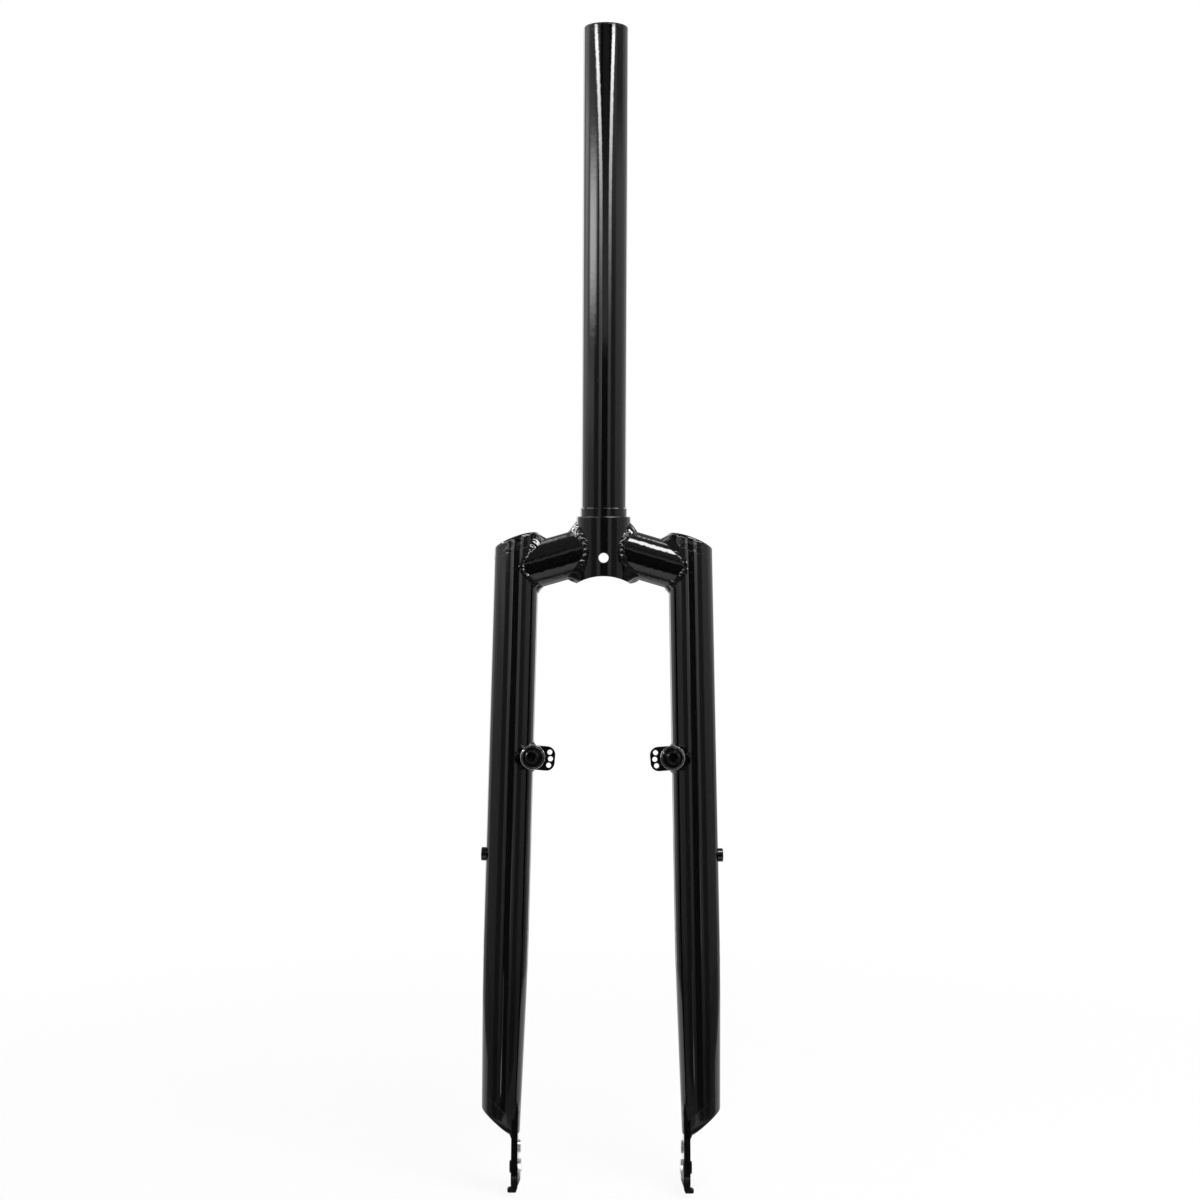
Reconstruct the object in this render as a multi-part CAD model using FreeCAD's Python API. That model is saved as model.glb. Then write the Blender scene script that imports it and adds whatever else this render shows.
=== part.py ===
import FreeCAD, Part
import math
import os
from FreeCAD import Placement, Rotation, Vector

# A rigid steel mountain bike fork, in millimetres.
# The origin is on the steerer axis at the shoulder that the crown race sits on.
# +Z points up along the steerer, -Y points forward and +X points to the rider's left.
# Every left piece is modelled, and its right twin is its mirror image.

# Fork geometry
axle_drop = 412.5
rake = 43.0
hub_spacing = 100.0
leg_spread_at_crown = 112.1
leg_spread_at_axle = 126.9

# Steerer tube
steerer_od = 28.6
steerer_wall = 1.6
steerer_height = 312.0
steerer_chamfer = 1.0
steerer_foot_step = 0.5

# Crown sleeve: a turned sleeve brazed onto the foot of the steerer, whose step rests on it
race_seat_step = 0.7
race_seat_height = 5.5
race_seat_chamfer = 0.5
race_shoulder = 2.5
sleeve_edge_round = 0.8
sleeve_length = 38.0
sleeve_arch_radius = 33.0
braze_gap = 0.05
bolt_hole_diameter = 6.5
bolt_hole_drop = 26.5

# Crown arms: two short sloping oval tubes from the sleeve to the legs, taller than they are deep
arm_root_drop = 18.6
arm_tip_drop = 35.0
arm_wall = 2.0
arm_inset = 0.6
arm_oval = 1.9

# Legs
leg_od = 28.6
leg_wall = 1.2
leg_top_above_joint = 21.2
leg_top_slope = 20.5
leg_bottom_above_axle = 29.6
leg_bottom_slope = 40.0
leg_tip_od = 24.0
leg_taper_above_axle = 130.0
leg_taper_length = 105.0
leg_taper_blend = 25.0

# Caps that close the two ends of each leg
top_cap_height = 9.0
top_cap_wall = 2.0
top_cap_round = 2.0
top_cap_dome_radius = 120.0
bottom_cap_height = 9.0
bottom_cap_round = 3.5

# Dropouts: plates let into the legs
dropout_thickness = 4.1
dropout_head_radius = 12.5
dropout_tongue_radius = 8.0
dropout_tongue_reach = 40.0
axle_slot_width = 9.2
axle_slot_tip_round = 1.5
hub_pad_radius = 9.2
hub_pad_height = 1.8
lip_width = 3.2
lip_height = 2.3
lip_top_below_axle = 6.0
lip_round = 1.0
tip_bevel_slope = 18.0
eyelet_radius = 5.0
eyelet_behind_axle = 17.0
upper_eyelet_above_axle = 12.3
lower_eyelet_above_axle = -0.9
eyelet_root_above_axle = 14.0
eyelet_root_radius = 8.5
eyelet_pad_radius = 4.0
eyelet_inner_pad = 0.9
eyelet_outer_pad = 2.0

# Threads: the hole that is drilled for each tap
tap_hole_m5 = 4.2
tap_hole_m6 = 5.0

# Brake bosses with their spring plates
boss_od = 15.6
boss_above_axle = 260.6
boss_stand = 5.0
boss_back = 2.0
boss_chamfer = 1.3
spring_plate_reach = 14.0
spring_plate_height = 15.4
spring_plate_thickness = 3.0
spring_plate_setback = 4.0
spring_plate_round = 5.2
spring_plate_tilt = 3.5
spring_hole_count = 3
spring_hole_diameter = 3.2
spring_hole_circle_radius = 11.2
spring_hole_step = 21.6

# Brake studs: pivots screwed into the bosses
stud_od = 8.0
stud_length = 16.3
stud_chamfer = 0.6
stud_shank_od = 10.0
stud_shank_depth = 7.0
stud_hole_depth = 15.0
screw_fit = 0.05

# Rack bosses: threaded inserts in the outer side of the legs
rack_boss_od = 8.6
rack_boss_stand = 2.9
rack_boss_chamfer = 0.4
rack_boss_above_axle = 198.8
rack_boss_spigot_od = 7.0
rack_boss_spigot_depth = 5.0

# Welds, by the radius of their hollow face or the width of their legs
sleeve_weld_radius = 7.0
arm_weld_radius = 4.4
boss_weld_radius = 2.2
dropout_weld_width = 3.0

# A length that carries a cutting body clear past the piece that it cuts
overshoot = 60.0

# How close two lengths are when they count as equal
tolerance = 0.001

# Places that follow from those sizes
steerer_radius = steerer_od / 2
foot_radius = steerer_radius - steerer_foot_step
seat_radius = steerer_radius + race_seat_step
sleeve_radius = seat_radius + race_shoulder
leg_radius = leg_od / 2
arm_half_depth = leg_radius - arm_inset
arm_half_height = arm_half_depth + arm_oval / 2
boss_radius = boss_od / 2
x_axis = Vector(1, 0, 0)
y_axis = Vector(0, 1, 0)
z_axis = Vector(0, 0, 1)
arm_root = Vector(0, 0, -arm_root_drop)
joint = Vector(leg_spread_at_crown / 2, 0, -arm_tip_drop)
axle_centre = Vector(0, -rake, -axle_drop)
leg_foot = Vector(leg_spread_at_axle / 2, -rake, -axle_drop)
arm_way = (joint - arm_root).normalize()
arm_length = (joint - arm_root).Length
arm_upward = arm_way.cross(y_axis)
arm_frame = Placement(arm_root, Rotation(arm_upward, -y_axis, arm_way, "ZXY"))
leg_up = (joint - leg_foot).normalize()
leg_length = (joint - leg_foot).Length
leg_frame = Placement(joint, Rotation(x_axis, y_axis, leg_up, "ZXY"))
dropout_inner = hub_spacing / 2 + hub_pad_height
dropout_outer = dropout_inner + dropout_thickness
leg_up_side_on = Vector(0, leg_up.y, leg_up.z).normalize()
crown_foot = -sleeve_length - sleeve_arch_radius


# Helpers
def revolved(points):
    """Turn a closed outline of (radius, height) points about the Z axis."""
    outline = Part.makePolygon([Vector(radius, 0, height) for radius, height in points + points[:1]])
    return Part.Face(outline).revolve(Vector(0, 0, 0), z_axis, 360)


def on_leg(shape):
    """Carry a shape from the leg's own frame to its place on the fork."""
    placed = shape.copy()
    placed.Placement = leg_frame.multiply(placed.Placement)
    return placed


def beyond(point, normal):
    """A block, wider than the fork is long, that fills the space on the far side of a plane."""
    half = axle_drop + steerer_height
    block = Part.makeBox(2 * half, 2 * half, 2 * half, Vector(-half, -half, 0))
    block.Placement = Placement(point, Rotation(z_axis, normal))
    return block


def strap(start, start_radius, end, end_radius, near_x, far_x):
    """A plate between two X planes whose outline wraps two circles in the YZ plane."""
    way = end - start
    spread = math.acos((start_radius - end_radius) / way.Length)
    heading = math.atan2(way.z, way.y)

    def rim(centre, radius, angle):
        return centre + Vector(0, math.cos(angle), math.sin(angle)) * radius

    start_arc = Part.Arc(rim(start, start_radius, heading + spread),
                         rim(start, start_radius, heading + math.pi),
                         rim(start, start_radius, heading - spread)).toShape()
    end_arc = Part.Arc(rim(end, end_radius, heading - spread),
                       rim(end, end_radius, heading),
                       rim(end, end_radius, heading + spread)).toShape()
    lower = Part.makeLine(rim(start, start_radius, heading - spread),
                          rim(end, end_radius, heading - spread))
    upper = Part.makeLine(rim(end, end_radius, heading + spread),
                          rim(start, start_radius, heading + spread))
    plate = Part.Face(Part.Wire([start_arc, lower, end_arc, upper])).extrude(x_axis * (far_x - near_x))
    plate.translate(x_axis * near_x)
    return plate


def one_solid(shape):
    """The single solid that a cut or a join leaves, with its split faces merged."""
    merged = shape.removeSplitter()
    if len(merged.Solids) != 1:
        raise ValueError("expected one solid, found %d" % len(merged.Solids))
    return merged.Solids[0]


def weld_fillet(first, second, on_both, radius):
    """The hollow-faced bead that runs along the line where two bodies meet."""
    joined = first.fuse(second)
    seam = [edge for edge in joined.Edges if all(on_both(point) for point in edge.discretize(5))]
    return joined.makeFillet(radius, seam).cut(first).cut(second)


def distance_to_line(point, origin, way):
    return (point - origin).cross(way).Length


def near(value, target):
    return abs(value - target) < tolerance


# Steerer and crown sleeve
def crown_cuts():
    """The arch across the foot of the crown and the hole through it from front to back."""
    arch = Part.makeCylinder(sleeve_arch_radius, 2 * overshoot, Vector(0, -overshoot, crown_foot), y_axis)
    bolt_hole = Part.makeCylinder(bolt_hole_diameter / 2, 2 * overshoot,
                                  Vector(0, -overshoot, -bolt_hole_drop), y_axis)
    return arch.fuse(bolt_hole)


def make_steerer():
    bore_radius = steerer_radius - steerer_wall
    tube = revolved([(bore_radius, crown_foot),
                     (foot_radius, crown_foot),
                     (foot_radius, race_seat_height),
                     (steerer_radius, race_seat_height),
                     (steerer_radius, steerer_height - steerer_chamfer),
                     (steerer_radius - steerer_chamfer, steerer_height),
                     (bore_radius, steerer_height)])
    return one_solid(tube.cut(crown_cuts()))


def make_sleeve():
    bore_radius = foot_radius + braze_gap
    body = revolved([(bore_radius, crown_foot),
                     (sleeve_radius, crown_foot),
                     (sleeve_radius, 0),
                     (seat_radius, 0),
                     (seat_radius, race_seat_height - race_seat_chamfer),
                     (seat_radius - race_seat_chamfer, race_seat_height),
                     (bore_radius, race_seat_height)])
    shoulder = [edge for edge in body.Edges
                if all(near(point.z, 0) and near(math.hypot(point.x, point.y), sleeve_radius)
                       for point in edge.discretize(5))]
    return one_solid(body.makeFillet(sleeve_edge_round, shoulder).cut(crown_cuts()))


# Plain bodies that the crown tubes are mitred and welded against
sleeve_body = Part.makeCylinder(sleeve_radius, overshoot, Vector(0, 0, -overshoot), z_axis)
leg_body = Part.makeCylinder(leg_radius, leg_length + overshoot, leg_foot, leg_up)


def arm_form(inset):
    """The arm's oval body, from the steerer axis to the leg's axis."""
    oval = Part.Ellipse(Vector(0, 0, 0), arm_half_height - inset, arm_half_depth - inset)
    blank = Part.Face(Part.Wire(oval.toShape())).extrude(z_axis * arm_length)
    blank.Placement = arm_frame
    return blank


arm_body = arm_form(0)


def make_arm():
    return one_solid(arm_body.cut(arm_form(arm_wall)).cut(sleeve_body).cut(leg_body))


# Legs and their caps, drawn in the leg's frame: Z along the leg, X outward, Y rearward
def leg_form(inset):
    """The leg's round body: straight, then swaged down to its tip through a soft bend."""
    radius = leg_radius - inset
    slope = math.atan((leg_od - leg_tip_od) / 2 / leg_taper_length)
    bend_radius = leg_taper_blend / math.tan(slope / 2)
    bend_start = leg_taper_above_axle + leg_taper_blend - leg_length
    foot = leg_bottom_above_axle - leg_length - overshoot

    def bend_point(angle):
        across = radius - bend_radius * (1 - math.cos(angle))
        return Vector(across, 0, bend_start - bend_radius * math.sin(angle))

    top_centre = Vector(0, 0, overshoot)
    top_rim = Vector(radius, 0, overshoot)
    bend_end = bend_point(slope)
    tip_rim = Vector(bend_end.x - (bend_end.z - foot) * math.tan(slope), 0, foot)
    tip_centre = Vector(0, 0, foot)
    edges = [Part.makeLine(top_centre, top_rim),
             Part.makeLine(top_rim, bend_point(0)),
             Part.Arc(bend_point(0), bend_point(slope / 2), bend_end).toShape(),
             Part.makeLine(bend_end, tip_rim),
             Part.makeLine(tip_rim, tip_centre),
             Part.makeLine(tip_centre, top_centre)]
    return Part.Face(Part.Wire(edges)).revolve(Vector(0, 0, 0), z_axis, 360)


top_angle = math.radians(leg_top_slope)
bottom_angle = math.radians(leg_bottom_slope)
top_normal = Vector(math.sin(top_angle), 0, math.cos(top_angle))
bottom_normal = Vector(math.sin(bottom_angle), 0, -math.cos(bottom_angle))
top_point = z_axis * leg_top_above_joint
bottom_point = z_axis * (leg_bottom_above_axle - leg_length)
top_seam = top_point - top_normal * top_cap_height
dome_centre = top_point - top_normal * top_cap_dome_radius
bottom_seam = bottom_point - bottom_normal * bottom_cap_height


def rack_boss_body(radius, start, end):
    centre_height = rack_boss_above_axle - leg_length
    return Part.makeCylinder(radius, end - start, Vector(start, 0, centre_height), x_axis)


def make_leg(dropout):
    tube = leg_form(0).cut(leg_form(leg_wall))
    tube = tube.cut(beyond(top_seam, top_normal)).cut(beyond(bottom_seam, bottom_normal))
    tube = tube.cut(rack_boss_body(rack_boss_spigot_od / 2 + braze_gap, 0, overshoot))
    cheek = on_leg(bottom_plug()).common(beyond(x_axis * dropout_inner, -x_axis))
    return one_solid(on_leg(tube).cut(dropout).fuse(cheek))


def bottom_plug():
    """The leg's closed lower end, cut on the slant, with a rounded edge."""
    plug = leg_form(0).cut(beyond(bottom_point, bottom_normal)).common(beyond(bottom_seam, bottom_normal))
    rim = [edge for edge in plug.Edges
           if all(near((point - bottom_point).dot(bottom_normal), 0) for point in edge.discretize(5))]
    return plug.makeFillet(bottom_cap_round, rim)


def under_dome(inset):
    """The round body whose upper side, less an inset, is the domed face of the top cap."""
    return Part.makeCylinder(top_cap_dome_radius - inset, 2 * overshoot,
                             dome_centre - y_axis * overshoot, y_axis)


def make_top_cap():
    def on_rim(point):
        return (near(distance_to_line(point, dome_centre, y_axis), top_cap_dome_radius)
                and near(math.hypot(point.x, point.y), leg_radius))

    cap = leg_form(0).common(under_dome(0)).common(beyond(top_seam, top_normal))
    rim = [edge for edge in cap.Edges if all(on_rim(point) for point in edge.discretize(5))]
    hollow = leg_form(top_cap_wall).common(under_dome(top_cap_wall))
    return one_solid(on_leg(cap.makeFillet(top_cap_round, rim).cut(hollow)))


def make_bottom_cap():
    return one_solid(on_leg(bottom_plug()).common(beyond(x_axis * dropout_outer, x_axis)))


# Dropouts, drawn on the fork
def disc(centre, radius, near_x, far_x):
    return Part.makeCylinder(radius, far_x - near_x, centre + x_axis * near_x, x_axis)


upper_eyelet = axle_centre + Vector(0, eyelet_behind_axle, upper_eyelet_above_axle)
lower_eyelet = axle_centre + Vector(0, eyelet_behind_axle, lower_eyelet_above_axle)


def make_dropout():
    tongue_centre = axle_centre + leg_up_side_on * dropout_tongue_reach
    eyelet_root = axle_centre + leg_up_side_on * eyelet_root_above_axle
    hub_face = dropout_inner - hub_pad_height
    eyelet_face = dropout_inner - eyelet_inner_pad
    pad_face = dropout_outer + eyelet_outer_pad
    lip_face = dropout_outer + lip_height
    plate = strap(axle_centre, dropout_head_radius, tongue_centre, dropout_tongue_radius,
                  dropout_inner, dropout_outer)
    ears = [strap(eyelet_root, eyelet_root_radius, eyelet, eyelet_radius, dropout_inner, dropout_outer)
            for eyelet in (upper_eyelet, lower_eyelet)]
    hub_pad = disc(axle_centre, hub_pad_radius, hub_face, dropout_inner)
    pads = [disc(upper_eyelet, eyelet_pad_radius, eyelet_face, dropout_outer),
            disc(lower_eyelet, eyelet_pad_radius, eyelet_face, pad_face)]
    lip = disc(axle_centre, dropout_head_radius, dropout_outer, lip_face)
    lip = lip.cut(disc(axle_centre, dropout_head_radius - lip_width, dropout_outer, lip_face))
    lip = lip.cut(beyond(axle_centre - z_axis * lip_top_below_axle, z_axis))
    lip = lip.cut(beyond(axle_centre, y_axis))
    slot_end = axle_centre - leg_up_side_on * overshoot
    slot = strap(axle_centre, axle_slot_width / 2, slot_end, axle_slot_width / 2, hub_face, lip_face)
    blank = plate.fuse([hub_pad, lip] + ears + pads).cut(slot)
    for eyelet in (upper_eyelet, lower_eyelet):
        blank = blank.cut(disc(eyelet, tap_hole_m5 / 2, eyelet_face, pad_face))
    blank = blank.removeSplitter()

    def at_slot_mouth(point):
        offset = point - axle_centre
        across = (offset - leg_up_side_on * offset.dot(leg_up_side_on) - x_axis * offset.x).Length
        along = math.hypot(offset.y, offset.z)
        return near(across, axle_slot_width / 2) and near(along, dropout_head_radius)

    tips = [edge for edge in blank.Edges if all(at_slot_mouth(point) for point in edge.discretize(3))]
    blank = blank.makeFillet(axle_slot_tip_round, tips)
    lip_rim = [edge for edge in blank.Edges if all(near(point.x, lip_face) for point in edge.discretize(3))]
    blank = blank.makeFillet(lip_round, lip_rim)
    bevel_angle = math.radians(tip_bevel_slope)
    bevel_normal = Vector(-math.cos(bevel_angle), 0, -math.sin(bevel_angle))
    bevel_top = axle_centre + x_axis * dropout_inner - z_axis * lip_top_below_axle
    return one_solid(blank.cut(beyond(bevel_top, bevel_normal)))


# Brake bosses and studs, drawn in the leg's frame, with the boss axis on the leg's inner edge
boss_centre = Vector(-leg_radius, 0, boss_above_axle - leg_length)
boss_front = -leg_radius - boss_stand


def boss_body(radius, front, back):
    return Part.makeCylinder(radius, back - front, boss_centre + y_axis * front, y_axis)


def make_spring_plate():
    plate = Part.makeBox(spring_plate_reach, spring_plate_thickness, spring_plate_height,
                         Vector(-spring_plate_reach, 0, -spring_plate_height / 2))
    corners = [edge for edge in plate.Edges
               if all(near(point.x, -spring_plate_reach) and near(abs(point.z), spring_plate_height / 2)
                      for point in edge.discretize(3))]
    plate = plate.makeFillet(spring_plate_round, corners)
    for number in range(spring_hole_count):
        angle = math.radians(180 + spring_hole_step * (number - (spring_hole_count - 1) / 2))
        centre = Vector(math.cos(angle), 0, math.sin(angle)) * spring_hole_circle_radius
        hole = Part.makeCylinder(spring_hole_diameter / 2, spring_plate_thickness, centre, y_axis)
        plate = plate.cut(hole)
    plate.rotate(Vector(0, 0, 0), y_axis, -spring_plate_tilt)
    plate.translate(boss_centre + y_axis * (boss_front + spring_plate_setback))
    return plate


def make_boss():
    barrel = boss_body(boss_radius, boss_front, boss_back)
    front_rim = [edge for edge in barrel.Edges
                 if all(near(point.y, boss_front) for point in edge.discretize(5))]
    barrel = barrel.makeChamfer(boss_chamfer, front_rim).fuse(make_spring_plate())
    shank_hole = boss_body(stud_shank_od / 2 + screw_fit, boss_front, boss_front + stud_shank_depth)
    return one_solid(on_leg(barrel.cut(leg_form(0)).cut(shank_hole)))


def make_stud():
    hole_radius = tap_hole_m6 / 2
    stud = revolved([(0, -stud_shank_depth),
                     (stud_shank_od / 2, -stud_shank_depth),
                     (stud_shank_od / 2, 0),
                     (stud_od / 2, 0),
                     (stud_od / 2, stud_length - stud_chamfer),
                     (stud_od / 2 - stud_chamfer, stud_length),
                     (hole_radius, stud_length),
                     (hole_radius, stud_length - stud_hole_depth),
                     (0, stud_length - stud_hole_depth)])
    stud.Placement = Placement(boss_centre + y_axis * boss_front, Rotation(z_axis, -y_axis))
    return one_solid(on_leg(stud))


# Rack bosses, drawn in the leg's frame
def make_rack_boss():
    face = leg_radius + rack_boss_stand
    flange = rack_boss_body(rack_boss_od / 2, 0, face)
    rim = [edge for edge in flange.Edges if all(near(point.x, face) for point in edge.discretize(5))]
    flange = flange.makeChamfer(rack_boss_chamfer, rim).cut(leg_form(0))
    spigot = rack_boss_body(rack_boss_spigot_od / 2, leg_radius - leg_wall - rack_boss_spigot_depth, face)
    spigot = spigot.common(rack_boss_body(rack_boss_od / 2, 0, face - rack_boss_chamfer))
    hole = rack_boss_body(tap_hole_m5 / 2, 0, face)
    return one_solid(on_leg(flange.fuse(spigot).cut(hole)))


# Welds
def on_arm(point):
    offset = point - arm_root
    across = math.hypot(offset.dot(arm_upward) / arm_half_height, offset.y / arm_half_depth)
    return near(across * arm_half_height, arm_half_height)


def on_leg_wall(point):
    return near(distance_to_line(point, joint, leg_up), leg_radius)


def make_sleeve_weld():
    def on_both(point):
        return on_arm(point) and near(math.hypot(point.x, point.y), sleeve_radius)

    return one_solid(weld_fillet(sleeve_body, arm_body, on_both, sleeve_weld_radius).cut(crown_cuts()))


def make_arm_weld():
    def on_both(point):
        return on_arm(point) and on_leg_wall(point)

    bead = weld_fillet(leg_body, arm_body, on_both, arm_weld_radius)
    return one_solid(bead.common(on_leg(under_dome(top_cap_round))))


def make_boss_weld(boss):
    through = on_leg(boss_body(boss_radius, -overshoot, overshoot))
    boss_origin = leg_frame.multVec(boss_centre)
    boss_way = leg_frame.Rotation.multVec(y_axis)

    def on_both(point):
        return on_leg_wall(point) and near(distance_to_line(point, boss_origin, boss_way), boss_radius)

    bead = weld_fillet(leg_body, through, on_both, boss_weld_radius)
    behind = beyond(leg_frame.multVec(y_axis * boss_back), boss_way)
    return one_solid(bead.cut(behind).cut(boss))


def make_dropout_weld():
    face_point = leg_frame.multVec(bottom_point)
    face_normal = leg_frame.Rotation.multVec(bottom_normal)
    run = face_normal.cross(x_axis).normalize()
    up_the_cap = run.cross(face_normal).normalize()
    if up_the_cap.x < 0:
        up_the_cap = -up_the_cap
    corner = face_point + up_the_cap * ((dropout_outer - face_point.x) / up_the_cap.x)
    half_run = dropout_tongue_radius
    down_the_plate = run.cross(x_axis).normalize()
    if down_the_plate.z > 0:
        down_the_plate = -down_the_plate
    on_cap = corner + up_the_cap * dropout_weld_width
    on_plate = corner + down_the_plate * dropout_weld_width
    wedge = Part.Face(Part.makePolygon([corner, on_cap, on_plate, corner])).extrude(run * 2 * half_run)
    wedge.translate(run * -half_run)
    return one_solid(wedge)


# The pieces
dropout = make_dropout()
boss = make_boss()
left_pieces = {
    "crown_arm": make_arm(),
    "leg": make_leg(dropout),
    "leg_top_cap": make_top_cap(),
    "leg_bottom_cap": make_bottom_cap(),
    "dropout": dropout,
    "brake_boss": boss,
    "brake_stud": make_stud(),
    "rack_boss": make_rack_boss(),
    "sleeve_weld": make_sleeve_weld(),
    "arm_weld": make_arm_weld(),
    "boss_weld": make_boss_weld(boss),
    "dropout_weld": make_dropout_weld(),
}

pieces = {"steerer_tube": make_steerer(), "crown_sleeve": make_sleeve()}
for name, shape in left_pieces.items():
    pieces["left_" + name] = shape
    pieces["right_" + name] = shape.mirror(Vector(0, 0, 0), x_axis)

os.makedirs("parts", exist_ok=True)
for name, shape in pieces.items():
    shape.exportStep("parts/" + name + ".step")
    print("%-22s %9.1f mm3  valid %s" % (name, shape.Volume, shape.isValid()))
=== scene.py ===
# %% [markdown]
# # A rigid mountain bike fork in gloss black
# The fork is a welded steel frame part: a steerer tube on top, a crown with two short arms, and two
# straight legs that end in plate dropouts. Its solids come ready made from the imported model, in metres,
# with the origin on the steerer axis at the crown race shoulder. This lesson dresses them: it paints the
# tubes, lays the weld beads, cuts the threads, and builds the small white studio that a glossy black
# thing needs, because black gloss shows nothing but what stands around it.

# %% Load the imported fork
import math
import random
from bisect import bisect_right

import bpy
from mathutils import Matrix, Vector
from mathutils.bvhtree import BVHTree


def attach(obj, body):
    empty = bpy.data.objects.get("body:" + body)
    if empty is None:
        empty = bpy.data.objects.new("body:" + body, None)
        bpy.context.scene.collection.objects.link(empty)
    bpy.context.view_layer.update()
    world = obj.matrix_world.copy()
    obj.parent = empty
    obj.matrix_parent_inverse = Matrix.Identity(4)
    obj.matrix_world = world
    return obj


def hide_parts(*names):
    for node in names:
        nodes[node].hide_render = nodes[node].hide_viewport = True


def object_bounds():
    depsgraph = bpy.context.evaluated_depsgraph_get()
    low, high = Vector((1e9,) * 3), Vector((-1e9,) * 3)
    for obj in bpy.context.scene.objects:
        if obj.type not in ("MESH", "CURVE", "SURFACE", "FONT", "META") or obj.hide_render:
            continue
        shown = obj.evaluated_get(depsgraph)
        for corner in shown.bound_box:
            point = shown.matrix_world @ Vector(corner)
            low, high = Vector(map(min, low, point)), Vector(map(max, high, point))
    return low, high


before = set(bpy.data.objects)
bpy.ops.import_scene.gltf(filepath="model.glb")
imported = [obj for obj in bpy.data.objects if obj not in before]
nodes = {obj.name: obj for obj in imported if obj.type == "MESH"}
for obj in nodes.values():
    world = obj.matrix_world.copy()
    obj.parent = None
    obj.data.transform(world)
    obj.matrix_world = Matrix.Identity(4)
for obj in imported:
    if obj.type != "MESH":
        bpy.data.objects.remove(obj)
solid_box = [list(corner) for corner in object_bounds()]
print("nodes:", len(nodes), "box:", [[round(v, 4) for v in corner] for corner in solid_box])

# %% [markdown]
# ## The camera
# The picture was taken from straight in front, a little over a metre away, with the lens just below
# crown height and tipped down by less than two degrees. The place and the lens length below were fitted
# to the edges of the tubes. A turn and a roll of a fraction of a degree take out the last slant.

# %% Camera
SENSOR_WIDTH = 36.0  # millimetres
LENS = 61.215  # millimetres
CAMERA_PLACE = (0, -1.312, -0.015)
TIP_DOWN, TURN, ROLL = 1.685, 0.095, 0.27  # degrees

camera_data = bpy.data.cameras.new("front_camera")
camera_data.sensor_width = SENSOR_WIDTH
camera_data.lens = LENS
camera = bpy.data.objects.new("front_camera", camera_data)
bpy.context.scene.collection.objects.link(camera)
aim = (Matrix.Rotation(math.radians(TURN), 4, "Z")
       @ Matrix.Rotation(math.radians(90 - TIP_DOWN), 4, "X")
       @ Matrix.Rotation(math.radians(ROLL), 4, "Z"))
camera.matrix_world = Matrix.Translation(CAMERA_PLACE) @ aim
bpy.context.scene.camera = camera
bpy.context.scene.view_settings.view_transform = "Standard"
print("camera at", CAMERA_PLACE, "lens", LENS)

# %% [markdown]
# ## Node helpers
# Every finish below is a small node graph. A few helpers keep the cells short: they add a node and set its
# values, map a value from one range to another, make a material with its output ready, and give a solid
# its finish. A constant goes straight onto the shader's socket, so the export can read it.


# %% Node helpers
def add_node(tree, kind, **values):
    node = tree.nodes.new(kind)
    for key, value in values.items():
        if key in node.inputs:
            node.inputs[key].default_value = value
        else:
            setattr(node, key, value)
    return node


def map_range(tree, source, start, end, low=0.0, high=1.0):
    """Maps a socket's value from start..end to low..high and gives the new socket."""
    ranges = {"From Min": start, "From Max": end, "To Min": low, "To Max": high}
    node = add_node(tree, "ShaderNodeMapRange", **ranges)
    tree.links.new(source, node.inputs["Value"])
    return node.outputs["Result"]


def new_material(name):
    material = bpy.data.materials.new(name)
    material.use_nodes = True
    tree = material.node_tree
    tree.nodes.clear()
    return material, tree, tree.nodes.new("ShaderNodeOutputMaterial")


def give_finish(name, material):
    """Puts a finish on a solid in place of its plain material."""
    materials = nodes[name].data.materials
    materials.clear()
    materials.append(material)


# %% [markdown]
# ## Gloss black paint
# The tubes are sprayed and baked black: nearly no colour of its own, and a clear hard gloss on top. Up
# close such paint is never flat. It dries with a soft orange-peel ripple a few millimetres wide, it holds
# a little dust, and its gloss varies by a hair. A picture texture would be one way to show that; noise in
# three dimensions is simpler here, because it needs no unwrapping and runs on over every joint between
# tubes. The rounded-edge node softens the light on edges that paint would have rounded anyway. It also
# finds those edges, and there the colour is made a little lighter: a painted highlight for the glint that
# sharp edges catch. A finish may be given a mask instead. Then the mask alone says where steel lies bare,
# and the paint turns to satin metal there. The bosses, studs and dropouts wait for such finishes, further
# on.


# %% Gloss black paint
DUST_SCALE, FILM_SCALE = 900.0, 35.0
DUST_SHARE = 0.5
PEEL_DEPTH = 0.0002
DEEP_BLACK = (0.0010, 0.0010, 0.0011, 1)
DUSTY_BLACK = (0.0030, 0.0030, 0.0030, 1)
BARE_ROUGHNESS = 0.30
# Sharp edges are painted lighter between these two cosines, as a painted highlight.
GLINT_BEGINS, GLINT_FULL = 0.985, 0.93  # cosines of the turn from the wall


def weighted_sum(tree, source, share, rest):
    """The socket for source times share plus rest."""
    node = add_node(tree, "ShaderNodeMath", operation="MULTIPLY_ADD")
    node.inputs[1].default_value = share
    tree.links.new(source, node.inputs[0])
    tree.links.new(rest, node.inputs[2])
    return node.outputs["Value"]


# A mask of sharp edges, where the colour is painted lighter as a painted highlight.
def edge_glint(tree, rounded):
    """1 where the rounded normal turns well away from the wall's own, else 0."""
    wall = add_node(tree, "ShaderNodeNewGeometry")
    turned = add_node(tree, "ShaderNodeVectorMath", operation="DOT_PRODUCT")
    tree.links.new(rounded.outputs["Normal"], turned.inputs[0])
    tree.links.new(wall.outputs["Normal"], turned.inputs[1])
    return map_range(tree, turned.outputs["Value"], GLINT_BEGINS, GLINT_FULL)


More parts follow.
